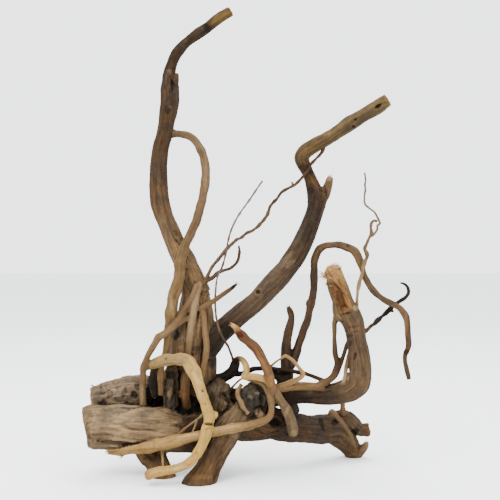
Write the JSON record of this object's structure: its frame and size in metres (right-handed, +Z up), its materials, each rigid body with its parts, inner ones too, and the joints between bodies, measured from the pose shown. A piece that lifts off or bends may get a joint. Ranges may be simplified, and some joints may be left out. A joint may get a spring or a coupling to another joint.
{
  "type": "spiderwood root",
  "caption": "Branching spiderwood root standing on sawn feet: a heavy stump, tall curved limbs, looping roots and fine rootlets.",
  "frame": {"origin": "on the table, under the middle of the root's bounding box", "axes": "+Z up; +X to the right of the pictured side, which faces -Y; +Y runs to the back"},
  "size_m": [0.3254, 0.1316, 0.4739],
  "materials": {
    "root_wood": "dry weathered root wood, mid brown, from near-black hollows to straw-coloured bare roots"
  },
  "bodies": {
    "root": {"spiderwood_root": "root_wood"}
  },
  "joints": []
}
